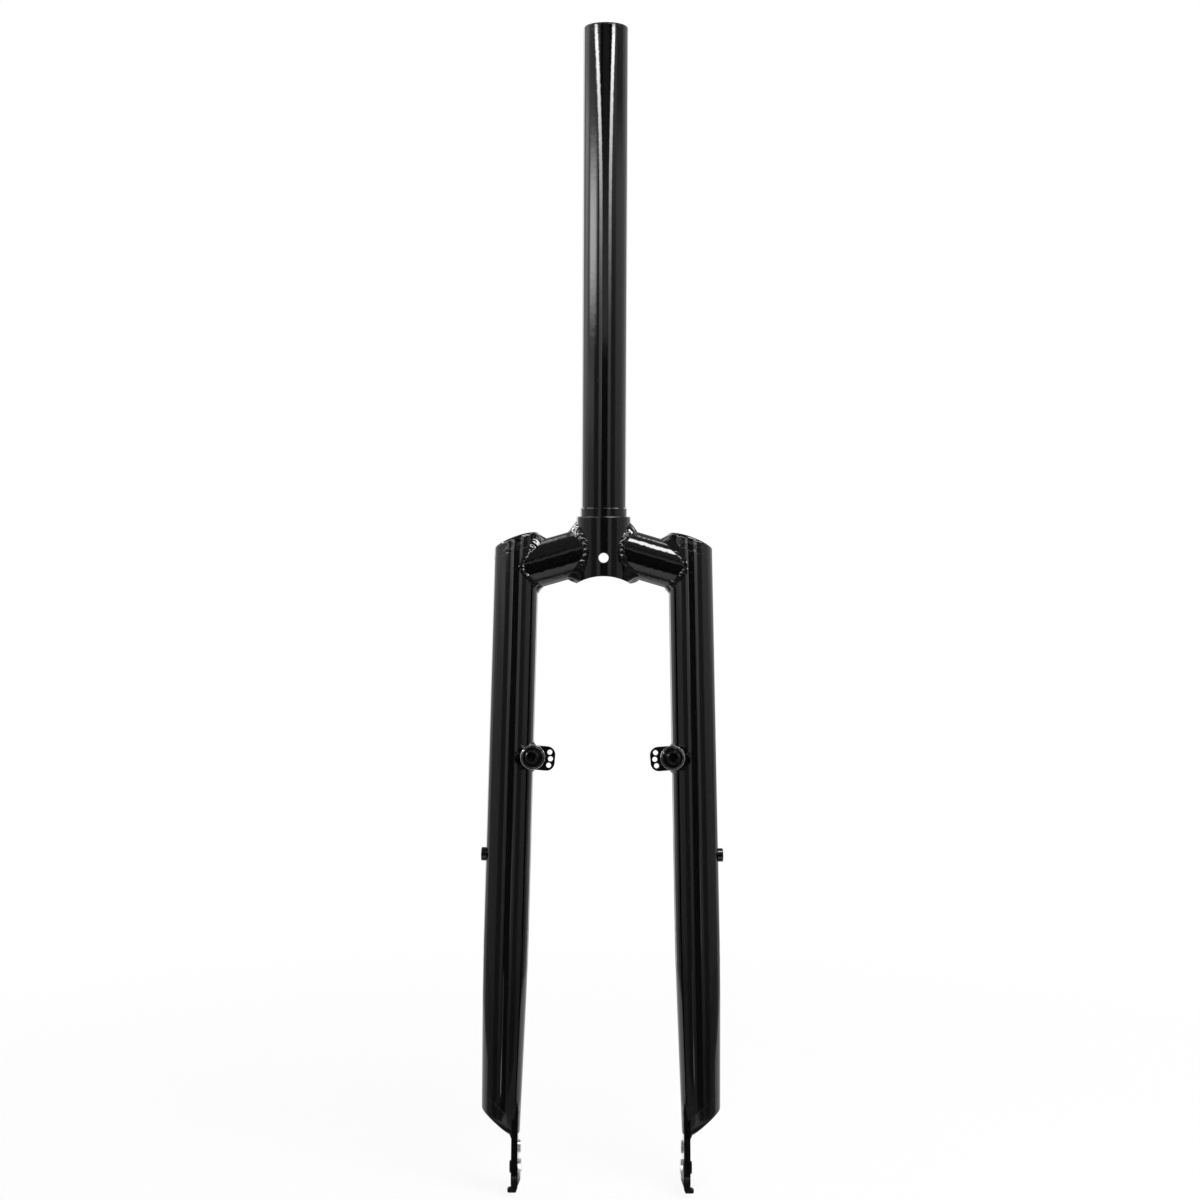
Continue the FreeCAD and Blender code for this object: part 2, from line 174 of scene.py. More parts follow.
def black_paint(name, peel, peel_size, edge, gloss, bare_or_glint=0.03, bare_place=None):
    """One black finish. Sizes are in metres, gloss is the range of its roughness, and the lightness given
    sets the painted highlight on sharp edges, or the bare steel where the mask bare_place says."""
    material, tree, output = new_material(name)
    place = add_node(tree, "ShaderNodeTexCoord")
    waves = add_node(tree, "ShaderNodeTexNoise", Scale=1 / peel_size, Detail=1.5, Roughness=0.45)
    dust = add_node(tree, "ShaderNodeTexNoise", Scale=DUST_SCALE, Detail=4.0, Roughness=0.6)
    film = add_node(tree, "ShaderNodeTexNoise", Scale=FILM_SCALE, Detail=2.0)
    for texture in (waves, dust, film):
        tree.links.new(place.outputs["Object"], texture.inputs["Vector"])
    rounded = add_node(tree, "ShaderNodeBevel", samples=6, Radius=edge)
    shader = add_node(tree, "ShaderNodeBsdfPrincipled", IOR=1.5)
    roughness = map_range(tree, film.outputs["Fac"], 0.3, 0.7, *gloss)
    if bare_place:
        steel_or_glint = bare_place(tree, place)
        roughness = weighted_sum(tree, steel_or_glint, BARE_ROUGHNESS, roughness)
        tree.links.new(steel_or_glint, shader.inputs["Metallic"])
    else:
        # Without a mask the sharp edges are painted a little lighter: a painted highlight, not worn paint.
        steel_or_glint = edge_glint(tree, rounded)
    tint = add_node(tree, "ShaderNodeValToRGB")
    stops = tint.color_ramp.elements
    stops[0].position, stops[0].color = 0.17, DEEP_BLACK
    stops[1].position, stops[1].color = 0.42, DUSTY_BLACK
    stops.new(1.0).color = (bare_or_glint, bare_or_glint, bare_or_glint, 1)
    tree.links.new(weighted_sum(tree, dust.outputs["Fac"], DUST_SHARE, steel_or_glint), tint.inputs["Fac"])
    ripple = add_node(tree, "ShaderNodeBump", Strength=peel, Distance=PEEL_DEPTH)
    tree.links.new(waves.outputs["Fac"], ripple.inputs["Height"])
    tree.links.new(rounded.outputs["Normal"], ripple.inputs["Normal"])
    tree.links.new(tint.outputs["Color"], shader.inputs["Base Color"])
    tree.links.new(roughness, shader.inputs["Roughness"])
    tree.links.new(ripple.outputs["Normal"], shader.inputs["Normal"])
    tree.links.new(shader.outputs["BSDF"], output.inputs["Surface"])
    return material


tube_paint = black_paint("tube_paint", peel=0.10, peel_size=0.004, edge=0.00018, gloss=(0.035, 0.075))
arm_paint = black_paint("arm_paint", peel=0.62, peel_size=0.0032, edge=0.0003, gloss=(0.035, 0.075))
fitting_paint = black_paint("fitting_paint", peel=0.14, peel_size=0.0025, edge=0.0002, gloss=(0.05, 0.10))
weld_paint = black_paint("weld_paint", peel=0.30, peel_size=0.0015, edge=0.0001, gloss=(0.035, 0.08))

arm_words = ("crown_arm", "leg_top_cap")
later_words = ("brake_boss", "brake_stud", "dropout")
for name in nodes:
    if name.endswith("_weld"):
        give_finish(name, weld_paint)
    elif name.endswith("rack_boss"):
        give_finish(name, fitting_paint)
    elif name.endswith(arm_words):
        give_finish(name, arm_paint)
    elif not name.endswith(later_words):
        give_finish(name, tube_paint)
print("black finishes:", [paint.name for paint in (tube_paint, arm_paint, fitting_paint, weld_paint)])

# %% [markdown]
# ## Where the tubes run
# The beads follow the lines where round tubes meet, so the lesson needs the tubes' axes and radii. They
# are the same few sizes that the solids were drawn from, in metres.

# %% Tube axes
SLEEVE_RADIUS = 0.0175
ARM_HALF_HEIGHT = 0.01465
ARM_HALF_DEPTH = 0.0137
LEG_RADIUS = 0.0143
ARM_ROOT = Vector((0, 0, -0.0186))
JOINT = Vector((0.05605, 0, -0.035))
LEG_FOOT = Vector((0.06345, -0.043, -0.4125))
ARM_WAY = (JOINT - ARM_ROOT).normalized()
LEG_UP = (JOINT - LEG_FOOT).normalized()
LEG_REAR = (Vector((0, 1, 0)) - LEG_UP * LEG_UP.y).normalized()
LEG_OUT = LEG_REAR.cross(LEG_UP).normalized()
if LEG_OUT.x < 0:
    LEG_OUT = -LEG_OUT
print("arm slopes", round(math.degrees(math.asin(-ARM_WAY.z)), 1), "degrees")


# %% [markdown]
# ## Weld beads
# A bead like this is laid by hand: the welder dabs the rod every couple of millimetres, and each dab
# freezes as a small crescent that overlaps the last, like a row of coins pushed over. A bump texture
# could hint at that, but the ridges break the light at the outline too, so the bead is real mesh. Along the
# seam of two tubes, each step puts one toe on each tube, bridges them with a slightly full curve, and
# raises the crescents on it. The toes are dropped onto the solids themselves, so a bead never floats.


# %% Bead helpers
def tree_of(*names):
    points, faces = [], []
    for name in names:
        mesh = nodes[name].data
        start = len(points)
        points += [vertex.co.copy() for vertex in mesh.vertices]
        faces += [[start + index for index in polygon.vertices] for polygon in mesh.polygons]
    return BVHTree.FromPolygons(points, faces)


SINK = 0.0003  # how deep a bead's toes go into the walls
RIDGE_BASE, RIDGE_PER_WIDTH = 0.55, 150


def step_up(value, start, end):
    """A soft step from 0 to 1 between two values."""
    t = max(0.0, min(1.0, (value - start) / (end - start)))
    return t * t * (3 - 2 * t)


def on_surface(surface, point, sink):
    spot, normal, _, _ = surface.find_nearest(point)
    return spot - normal * sink


def make_object(name, points, faces, material):
    mesh = bpy.data.meshes.new(name)
    mesh.from_pydata([tuple(point) for point in points], [], faces)
    mesh.polygons.foreach_set("use_smooth", [True] * len(mesh.polygons))
    mesh.materials.append(material)
    mesh.update()
    piece = bpy.data.objects.new(name, mesh)
    bpy.context.scene.collection.objects.link(piece)
    return piece


def grid_faces(rows, columns, closed=False):
    """Quads between rows of points, some columns in each. A closed grid joins its last row to its first."""
    faces = []
    for row in range(rows if closed else rows - 1):
        first = row * (columns + 1)
        second = ((row + 1) % rows) * (columns + 1)
        for column in range(columns):
            faces.append((first + column, first + column + 1, second + column + 1, second + column))
    return faces


def arm_seam(root, way, tube_origin, tube_way, tube_radius, far_side, count=440):
    """Points round an oval arm where it meets a round tube, with both outward normals."""
    rear = Vector((0, 1, 0))
    up = way.cross(rear).normalized()
    if up.z < 0:
        up = -up
    seam = []
    for step in range(count):
        turn = 2 * math.pi * step / count
        rim = up * (ARM_HALF_HEIGHT * math.cos(turn)) + rear * (ARM_HALF_DEPTH * math.sin(turn))
        outward = up * (math.cos(turn) / ARM_HALF_HEIGHT) + rear * (math.sin(turn) / ARM_HALF_DEPTH)
        offset = root + rim - tube_origin
        flat_way = way - tube_way * way.dot(tube_way)
        flat_offset = offset - tube_way * offset.dot(tube_way)
        a = flat_way.length_squared
        b = 2 * flat_way.dot(flat_offset)
        c = flat_offset.length_squared - tube_radius ** 2
        spread = math.sqrt(max(b * b - 4 * a * c, 0))
        along = (-b + spread) / (2 * a) if far_side else (-b - spread) / (2 * a)
        point = root + rim + way * along
        from_axis = point - tube_origin
        tube_normal = (from_axis - tube_way * from_axis.dot(tube_way)).normalized()
        seam.append((point, outward.normalized(), tube_normal))
    return seam


def dab_starts(length, dab, chance):
    """Where each dab of the rod begins: the hand is steady but never even."""
    starts = [0.0]
    while starts[-1] < length:
        starts.append(starts[-1] + dab * chance.uniform(0.6, 1.5))
    return [start * length / starts[-1] for start in starts]


def travel(seam, closed):
    """How far along the seam each of its points lies, and its start again if it is closed."""
    travelled = [0.0]
    for step in range(1, len(seam) + (1 if closed else 0)):
        travelled.append(travelled[-1] + (seam[step % len(seam)][0] - seam[step - 1][0]).length)
    return travelled


def lay_bead(name, seam, closed, surfaces, shape, dab, ridge, seed, across=10):
    """Builds one rippled bead. shape(angle) gives its width on each wall and how full it is."""
    chance = random.Random(seed)
    count = len(seam)
    travelled = travel(seam, closed)
    length = travelled[-1]
    starts = dab_starts(length, dab, chance)
    dabs = len(starts) - 1
    sizes = [1 + chance.uniform(-0.2, 0.2) for _ in range(dabs)]
    lifts = [chance.uniform(0.35, 1.35) for _ in range(dabs)]
    bends = [chance.uniform(0.3, 0.8) for _ in range(dabs)]
    points = []
    for step in range(count):
        point, normal_a, normal_b = seam[step]
        before = seam[(step - 1) % count][0] if closed or step else seam[step][0]
        after = seam[(step + 1) % count][0] if closed or step < count - 1 else seam[step][0]
        along = (after - before).normalized()
        way_a = normal_a.cross(along).normalized()
        if way_a.dot(normal_b) < 0:
            way_a = -way_a
        way_b = normal_b.cross(along).normalized()
        if way_b.dot(normal_a) < 0:
            way_b = -way_b
        angle = math.acos(max(-1, min(1, way_a.dot(way_b))))
        dab_now = min(bisect_right(starts, travelled[step]), dabs) - 1
        part = (travelled[step] - starts[dab_now]) / (starts[dab_now + 1] - starts[dab_now])
        blend = step_up(part, 0, 1)
        size = sizes[dab_now] * (1 - blend) + sizes[(dab_now + 1) % dabs] * blend
        bend = bends[dab_now] * (1 - blend) + bends[(dab_now + 1) % dabs] * blend
        width, fullness = shape(angle)
        if not closed:
            size *= (1 - abs(2 * travelled[step] / length - 1) ** 6) ** 0.5
        toe_a = on_surface(surfaces[0], point + way_a * width * size, SINK)
        toe_b = on_surface(surfaces[1], point + way_b * width * size, SINK)
        outward = (normal_a + normal_b).normalized()
        chord = (toe_b - toe_a).length
        crest_height = ridge * min(size, 1) * (RIDGE_BASE + RIDGE_PER_WIDTH * width)
        for column in range(across + 1):
            s = column / across
            arch = 4 * s * (1 - s)
            phase = dab_now + part + bend * (2 * s - 1) ** 2
            number = int(phase) % dabs
            crest = math.sin(math.pi * (phase % 1)) * lifts[number]
            rise = chord * fullness * arch + crest_height * crest * arch
            points.append(toe_a.lerp(toe_b, s) + outward * rise)
    faces = grid_faces(count, across, closed)
    middle = (count // 2) * (across + 1) + across // 2
    first_face = (points[middle + 1] - points[middle]).cross(points[middle + across + 1] - points[middle])
    if first_face.dot(seam[count // 2][1] + seam[count // 2][2]) < 0:
        faces = [face[::-1] for face in faces]
    piece = make_object(name, points, faces, weld_paint)
    print(name, "seam", round(length * 1000), "mm,", dabs, "dabs,", len(faces), "faces")
    return piece


def settle(piece, node_name):
    """Hands a bead to the fork in place of its plain solid."""
    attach(piece, "root")
    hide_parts(node_name)


# %% [markdown]
# ### Crown beads
# Two beads hold each crown arm: one round its root on the sleeve and one round its tip on the leg. The
# width at each point follows from the angle between the two walls: narrow and slightly proud at the front,
# where arm and leg run almost level, wide and hollow in the corners above and below.


# %% Crown beads
def bead_width(angle, throat, narrow, wide):
    """The width on each wall that a bead of this throat needs at an angle, between two limits."""
    return max(narrow, min(throat / math.tan(angle / 2), wide))


def sleeve_bead(angle):
    width = bead_width(angle, throat=0.0068, narrow=0.0024, wide=0.0062)
    return width, 0.05 - 0.09 * step_up(width, 0.003, 0.006)


def arm_bead(angle):
    width = bead_width(angle, throat=0.0050, narrow=0.0023, wide=0.0045)
    return width, 0.06 - 0.12 * step_up(width, 0.0025, 0.0040)


def to_side(flip):
    """The matrix that keeps a place on the left, or mirrors it to the right."""
    return Matrix.Scale(flip, 3, Vector((1, 0, 0)))


sides = {"left": 1, "right": -1}
for side, flip in sides.items():
    swapped = to_side(flip)
    root, tip = swapped @ ARM_ROOT, swapped @ JOINT
    arm_way, leg_way = swapped @ ARM_WAY, swapped @ LEG_UP
    arm_surface = tree_of(side + "_crown_arm")
    seam = arm_seam(root, arm_way, Vector((0, 0, 0)), Vector((0, 0, 1)), SLEEVE_RADIUS, far_side=True)
    bead = lay_bead(side + "_sleeve_bead", seam, True, (arm_surface, tree_of("crown_sleeve")), sleeve_bead,
                    dab=0.0036, ridge=0.00050, seed=11 + flip)
    settle(bead, side + "_sleeve_weld")
    seam = arm_seam(root, arm_way, tip, leg_way, LEG_RADIUS, far_side=False)
    leg_surface = tree_of(side + "_leg", side + "_leg_top_cap")
    bead = lay_bead(side + "_arm_bead", seam, True, (arm_surface, leg_surface), arm_bead,
                    dab=0.0034, ridge=0.00036, seed=37 + flip)
    settle(bead, side + "_arm_weld")

# %% [markdown]
# ### Boss and dropout beads
# Each brake boss is coped to the leg's inner edge, and its bead runs from the back of the leg over the top,
# round the front and under the boss. The dropout's bead is short and straight, in the corner between the
# plate and the slanted end of the leg. Open beads fade out at both ends, as the arc is lifted away.

# %% Boss and dropout beads
BOSS_RADIUS = 0.0078
BOSS_ABOVE_AXLE = 0.2606
BOSS_BACK = 0.0019
LEG_BOTTOM_ABOVE_AXLE = 0.0296
LEG_BOTTOM_SLOPE = math.radians(40)
DROPOUT_OUTER = 0.0559
DROPOUT_TONGUE_RADIUS = 0.008
DROPOUT_BEAD_SHARE = 0.96  # of the tongue's width


def boss_seam(count=160):
    """The line round the boss on the leg, from behind, over the front, to behind again."""
    centre = LEG_FOOT + LEG_UP * BOSS_ABOVE_AXLE
    back_turn = math.acos((LEG_RADIUS - math.sqrt(LEG_RADIUS ** 2 - BOSS_BACK ** 2)) / BOSS_RADIUS)
    span = math.pi / 2 + (math.pi / 2 - back_turn)
    seam = []
    for step in range(count + 1):
        turn = span * (2 * step / count - 1)
        behind = abs(turn) > math.pi / 2
        angle = turn if not behind else math.copysign(math.pi - abs(turn), turn)
        across = -LEG_RADIUS + BOSS_RADIUS * math.cos(angle)
        depth = math.sqrt(max(LEG_RADIUS ** 2 - across ** 2, 0))
        depth = depth if behind else -depth
        height = BOSS_RADIUS * math.sin(angle)
        point = centre + LEG_OUT * across + LEG_REAR * depth + LEG_UP * height
        boss_normal = LEG_OUT * math.cos(angle) + LEG_UP * math.sin(angle)
        leg_normal = (LEG_OUT * across + LEG_REAR * depth).normalized()
        seam.append((point, boss_normal, leg_normal))
    return seam


def dropout_seam(count=60):
    """The straight corner between the leg's slanted end and the plate's outer face."""
    face_point = LEG_FOOT + LEG_UP * LEG_BOTTOM_ABOVE_AXLE
    face_normal = LEG_OUT * math.sin(LEG_BOTTOM_SLOPE) - LEG_UP * math.cos(LEG_BOTTOM_SLOPE)
    plate_normal = Vector((1, 0, 0))
    run = face_normal.cross(plate_normal).normalized()
    up_the_face = run.cross(face_normal).normalized()
    corner = face_point + up_the_face * ((DROPOUT_OUTER - face_point.x) / up_the_face.x)
    half = DROPOUT_TONGUE_RADIUS * DROPOUT_BEAD_SHARE
    return [(corner + run * (half * (2 * step / count - 1)), face_normal, plate_normal)
            for step in range(count + 1)]


def boss_bead(angle):
    return 0.0005 + 0.0022 * step_up(angle, math.radians(66), math.radians(92)), 0.02


def dropout_bead(angle):
    return 0.0026, -0.04


def seam_on_side(seam, flip):
    return [tuple(to_side(flip) @ vector for vector in row) for row in seam]


for side, flip in sides.items():
    bead = lay_bead(side + "_boss_bead", seam_on_side(boss_seam(), flip), False,
                    (tree_of(side + "_brake_boss"), tree_of(side + "_leg")), boss_bead,
                    dab=0.0028, ridge=0.00022, seed=53 + flip, across=8)
    settle(bead, side + "_boss_weld")
    bead = lay_bead(side + "_dropout_bead", seam_on_side(dropout_seam(), flip), False,
                    (tree_of(side + "_leg_bottom_cap"), tree_of(side + "_dropout")), dropout_bead,
                    dab=0.0022, ridge=0.00024, seed=71 + flip, across=8)
    settle(bead, side + "_dropout_weld")

# %% [markdown]
# ### Boss rims and stud ends
# The front of each boss is turned to a narrow rim, and the stud in it ends in a small chamfer. On these
# fine edges the coat has worn off, and the steel shows as thin bright rings. The boss's spring plate is
# part of the same solid and stays black, so the mask asks how far a point is from the boss axis. The
# distance is worked out once for both sides by folding X.

# %% Boss rims and stud ends
BOSS_MIDDLE = LEG_FOOT + LEG_UP * BOSS_ABOVE_AXLE - LEG_OUT * LEG_RADIUS
RAMP_SPAN = 10.0  # millimetres from the axis that the colour ramp covers
# Where each ring begins, is full from, is full to and ends, in millimetres, and how bare it is.
STUD_RING = (3.62, 3.68, 3.86, 3.92, 0.15)
FACE_RING = (6.51, 6.55, 6.64, 6.68, 0.45)
RIM_RING = (7.47, 7.52, 7.70, 7.75, 0.90)


def folded_place(tree, place):
    """A point's X, Y and Z, with X folded so that one mask serves both sides."""
    split = add_node(tree, "ShaderNodeSeparateXYZ")
    tree.links.new(place.outputs["Object"], split.inputs["Vector"])
    fold = add_node(tree, "ShaderNodeMath", operation="ABSOLUTE")
    tree.links.new(split.outputs["X"], fold.inputs[0])
    return fold.outputs["Value"], split.outputs["Y"], split.outputs["Z"]


def boss_rings(tree, place):
    """How bare the steel is on the boss rim and the stud's end, by distance from the boss axis."""
    folded = add_node(tree, "ShaderNodeCombineXYZ")
    for axis, value in zip("XYZ", folded_place(tree, place)):
        tree.links.new(value, folded.inputs[axis])
    offset = add_node(tree, "ShaderNodeVectorMath", operation="SUBTRACT")
    offset.inputs[1].default_value = BOSS_MIDDLE
    tree.links.new(folded.outputs["Vector"], offset.inputs[0])
    across = add_node(tree, "ShaderNodeVectorMath", operation="CROSS_PRODUCT")
    across.inputs[1].default_value = LEG_REAR
    tree.links.new(offset.outputs["Vector"], across.inputs[0])
    reach = add_node(tree, "ShaderNodeVectorMath", operation="LENGTH")
    tree.links.new(across.outputs["Vector"], reach.inputs[0])
    share = map_range(tree, reach.outputs["Value"], 0.0, RAMP_SPAN / 1000)
    rings = add_node(tree, "ShaderNodeValToRGB")
    stops = rings.color_ramp.elements
    stops[1].color = stops[0].color = (0, 0, 0, 1)
    for begins, full_from, full_to, ends, bare_or_glint in (STUD_RING, FACE_RING, RIM_RING):
        for radius, value in ((begins, 0), (full_from, bare_or_glint), (full_to, bare_or_glint), (ends, 0)):
            stops.new(radius / RAMP_SPAN).color = (value, value, value, 1)
    tree.links.new(share, rings.inputs["Fac"])
    return rings.outputs["Color"]


ring_paint = black_paint("ring_paint", peel=0.10, peel_size=0.0020, edge=0.00014, gloss=(0.05, 0.10),
                         bare_or_glint=0.65, bare_place=boss_rings)
for side in sides:
    give_finish(side + "_brake_boss", ring_paint)
    give_finish(side + "_brake_stud", ring_paint)
print("rings at the rim of", round(BOSS_RADIUS * 2000, 1), "mm bosses")

# %% [markdown]
# ### Faced hub pads
# The hub is clamped against raised pads on the inner faces of the dropouts. They are faced flat after
# painting, so that the wheel sits square, and that leaves clean steel. The pads stand inside the plate's
# inner face, so the distance from the middle plane is all that tells them from the painted plate.

# %% Faced hub pads
DROPOUT_INNER = 0.0518
PAINT_ENDS, STEEL_BEGINS = 0.00005, 0.0002  # inward from the plate's inner face


def inner_pads(tree, place):
    """1 on what stands inside the plate's inner face, else 0."""
    from_middle, _, _ = folded_place(tree, place)
    return map_range(tree, from_middle, DROPOUT_INNER - PAINT_ENDS, DROPOUT_INNER - STEEL_BEGINS)


faced_paint = black_paint("faced_paint", peel=0.03, peel_size=0.004, edge=0.0002, gloss=(0.03, 0.06),
                          bare_or_glint=0.75, bare_place=inner_pads)
for side in sides:
    give_finish(side + "_dropout", faced_paint)
print("pads faced inside", DROPOUT_INNER * 1000, "mm from the middle plane")

# %% [markdown]
# ## Threads
# The pivot studs are tapped M6 from the front, and the rack bosses and dropout eyelets are tapped M5. The
# solids have plain tap holes. A bump could draw rings in them, but a thread is one line that winds, and
# looking into the hole shows it, so each hole gets a real ridge that climbs its wall by one pitch a turn
# and fades out at both ends.


# %% Threads
TURN_STEPS = 40
FADE_STEPS = 14
RIDGE_SHARE = 0.24  # of the pitch
RIDGE_ROOT = 0.00005  # how far its feet go into the wall
RIDGE_FOOT, RIDGE_TOP = 0.46, 0.06  # half widths, as shares of the pitch


def thread(name, mouth, way, radius, pitch, depth):
    """Winds a ridge down a tapped hole, from its mouth along the way in."""
    side = way.orthogonal().normalized()
    other_side = way.cross(side).normalized()
    count = int(TURN_STEPS * (depth / pitch - 1))
    points, faces = [], []
    for step in range(count + 1):
        turn = 2 * math.pi * step / TURN_STEPS
        outward = side * math.cos(turn) + other_side * math.sin(turn)
        down = pitch * (step / TURN_STEPS + 0.5)
        height = RIDGE_SHARE * pitch * min(1.0, step / FADE_STEPS, (count - step) / FADE_STEPS)
        profile = ((-RIDGE_FOOT, -RIDGE_ROOT), (-RIDGE_TOP, height), (RIDGE_TOP, height),
                   (RIDGE_FOOT, -RIDGE_ROOT))
        for shift, inward in profile:
            points.append(mouth + way * (down + shift * pitch) + outward * (radius - inward))
    for step in range(count):
        first, second = step * 4, step * 4 + 4
        for column in range(3):
            faces.append((first + column, second + column, second + column + 1, first + column + 1))
    piece = make_object(name, points, faces, fitting_paint)
    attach(piece, "root")
    print(name, "winds", round(count / TURN_STEPS, 1), "turns")


BOSS_STANDS_OUT, STUD_LENGTH = 0.005, 0.0163
RACK_BOSS_ABOVE_AXLE, RACK_BOSS_STANDS_OUT = 0.1988, 0.0029
EYELET_BEHIND_AXLE = 0.017
UPPER_EYELET_RISE, LOWER_EYELET_DROP = 0.0123, 0.0009
LOWER_EYELET_FACE = 0.0579
M5 = (0.0021, 0.0008)  # the tap hole's radius and the pitch
M6 = (0.0025, 0.001)
stud_front = BOSS_MIDDLE - LEG_REAR * (LEG_RADIUS + BOSS_STANDS_OUT + STUD_LENGTH)
rack_face = LEG_FOOT + LEG_UP * RACK_BOSS_ABOVE_AXLE + LEG_OUT * (LEG_RADIUS + RACK_BOSS_STANDS_OUT)
eyelet_y = LEG_FOOT.y + EYELET_BEHIND_AXLE
upper_eyelet = Vector((DROPOUT_OUTER, eyelet_y, LEG_FOOT.z + UPPER_EYELET_RISE))
lower_eyelet = Vector((LOWER_EYELET_FACE, eyelet_y, LEG_FOOT.z - LOWER_EYELET_DROP))
to_middle = Vector((-1, 0, 0))
# Each tapped hole on the left: its thread's name, mouth, way in, size and depth.
tapped_holes = (("_stud_thread", stud_front, LEG_REAR, M6, 0.0148),
                ("_rack_thread", rack_face, -LEG_OUT, M5, 0.009),
                ("_upper_eyelet_thread", upper_eyelet, to_middle, M5, 0.005),
                ("_lower_eyelet_thread", lower_eyelet, to_middle, M5, 0.007))
for side, flip in sides.items():
    swapped = to_side(flip)
    for word, mouth, way, (radius, pitch), depth in tapped_holes:
        thread(side + word, swapped @ mouth, swapped @ way, radius, pitch, depth)

# %% [markdown]
# ## The studio
# Black gloss is lit by what it mirrors, so this studio is built for its reflections. A tent of white cloth
# stands round the fork, with lamps in its roof, a cloth on its floor, a panel in front and a small card
# at one foot. A plain lamp on each side would be simpler, but it would leave the tubes as flat black
# shapes with one line each. Every sheet is a grid of points, and each point holds how brightly it glows.
# Where the sheets begin and how bright they are was set highlight by highlight, against the
# picture. The camera doesn't see them and they cast no shadow.

# %% Glowing sheets
TENT_RADIUS = 1.5
TENT_HEIGHT = 1.32
FLOOR_GAP = 0.0005
FLOOR = solid_box[0][2] - FLOOR_GAP


def glow_material(name):
    material, tree, output = new_material(name)
    level = add_node(tree, "ShaderNodeAttribute", attribute_name="glow")
    light = add_node(tree, "ShaderNodeEmission", Color=(1, 1, 1, 1))
    tree.links.new(level.outputs["Fac"], light.inputs["Strength"])
    tree.links.new(light.outputs["Emission"], output.inputs["Surface"])
    return material


glow = glow_material("tent_glow")


def glowing_sheet(name, rows, columns, place, level):
    """A sheet whose place and glow follow u along its rows and v across them, each from 0 to 1."""
    spots = [(column / columns, row / rows) for row in range(rows + 1) for column in range(columns + 1)]
    points = [place(u, v) for u, v in spots]
    sheet = make_object(name, points, grid_faces(rows + 1, columns), glow)
    values = sheet.data.attributes.new("glow", "FLOAT", "POINT")
    values.data.foreach_set("value", [level(u, v) for u, v in spots])
    sheet.visible_camera = False
    sheet.visible_shadow = False
    return sheet


print("floor at", round(FLOOR, 4), "m")

# %% [markdown]
# ### Foot card and front panel
# The card stands low in front of one leg and puts the short highlight on that leg's end. The panel stands
# in front of the steerer, above the line of sight, and greys the dark line down the steerer's middle.

# %% Foot card and front panel
CARD_LEFT, CARD_WIDTH = -0.089, 0.021
CARD_FOOT, CARD_HEIGHT = -0.379, 0.089
CARD_Y = -0.247
PANEL_LEFT, PANEL_WIDTH = -0.21, 0.47
PANEL_FOOT, PANEL_HEIGHT = 0.15, 0.75
PANEL_Y = -0.92


def card_place(u, v):
    return (CARD_LEFT + CARD_WIDTH * u, CARD_Y, CARD_FOOT + CARD_HEIGHT * v)


def card_level(u, v):
    """Brightest in its lowest quarter."""
    return 0.5 + 1.4 * (1 - step_up(v, 0.22, 0.42))


def panel_place(u, v):
    return (PANEL_LEFT + PANEL_WIDTH * u, PANEL_Y, PANEL_FOOT + PANEL_HEIGHT * v)


def panel_level(u, v):
    """Dark at its foot, grey just above that, and dimmer again towards its top."""
    height = PANEL_FOOT + PANEL_HEIGHT * v
    return 0.05 + 0.53 * step_up(height, 0.182, 0.212) * (1 - 0.76 * step_up(height, 0.24, 0.44))


glowing_sheet("foot_card", 24, 2, card_place, card_level)
glowing_sheet("front_panel", 75, 2, panel_place, panel_level)
print("card", CARD_HEIGHT, "m tall, panel", PANEL_HEIGHT, "m tall")

# %% [markdown]
# ### Tent wall
# The wall is round, with a dark gap where the lens looks in. Two bright strips beside that gap draw the
# long highlights on the tubes. Behind them hang dimmer cloths at the sides, and the back is pale, with a
# brighter band on each side. The wall stays out of the light on matte surfaces, where it would add to what
# the room sheds and make every colour too bright.

# %% Tent wall
GAP_CENTRE = 1.7  # degrees from straight in front
GAP_LEVEL = 0.04


def band(value, start, end, soft):
    """1 between start and end, with soft edges, and 0 elsewhere."""
    return step_up(value, start - soft, start + soft) * (1 - step_up(value, end - soft, end + soft))


def front_strips(turn, away, height):
    """The strips beside the gap: brighter towards the top, where they also lean apart."""
    lean = max(0.0, height - 0.42) ** 2 * (470 if turn < 0 else 230)
    strip = 0.55 * math.exp(2.4 * height) + 22 * max(0.0, (height - 0.25) / 0.4) ** 2
    strip *= 1 - 0.95 * band(height, 0.683, 0.74, 0.006)
    return strip * band(away, 16 + lean, 31 + lean, 1.6) + 0.16 * strip ** 0.5 * band(away, 31, 56, 4)


def left_patches(away, height):
    """Lit patches of the cloths on the left."""
    high_patch = 7.5 * band(away, 47, 85, 8) * band(height, 0.31, 0.50, 0.07)
    low_patch = 0.4 * band(away, 56, 97, 5) * band(height, 0.13, 0.24, 0.06)
    far_side = 3.6 * max(0.0, height - 0.1) * (1 - 0.65 * step_up(height, 0.52, 0.64))
    return high_patch + low_patch + far_side * band(away, 97, 121, 5)


def side_cloths(turn, away, height):
    if turn > 0:
        fade = 1 - 0.75 * step_up(height, 0.45, 0.6)
        patches = 0.0
    else:
        fade = 1 - 0.45 * step_up(height, 0.55, 0.64)
        patches = left_patches(away, height)
    return patches + 0.42 * math.exp(1.5 * height) * fade * band(away, 56, 97, 5)


def back_cloth(away, height):
    """The pale back, a little dimmer low down, with a brighter band on each side of its middle."""
    raised = step_up(height, -0.2, 0.12)
    edge = (0.22 + 0.5 * raised) * band(away, 97, 114, 4)
    pale = (0.6 + 0.3 * raised) * step_up(away, 111, 118)
    return edge + pale + 2.0 * band(away, 147, 161, 2.5) - 0.45 * step_up(away, 163, 168)


def thin_lines(turn, height):
    """A narrow line of light in the gap's edge on each side."""
    left_line = 1.6 * band(turn, -16.4, -14.2, 0.6) * band(height, 0.13, 0.40, 0.05)
    right_line = 1.3 * band(turn, 17.6, 19.8, 0.6) * band(height, -0.26, -0.11, 0.03)
    return left_line + right_line


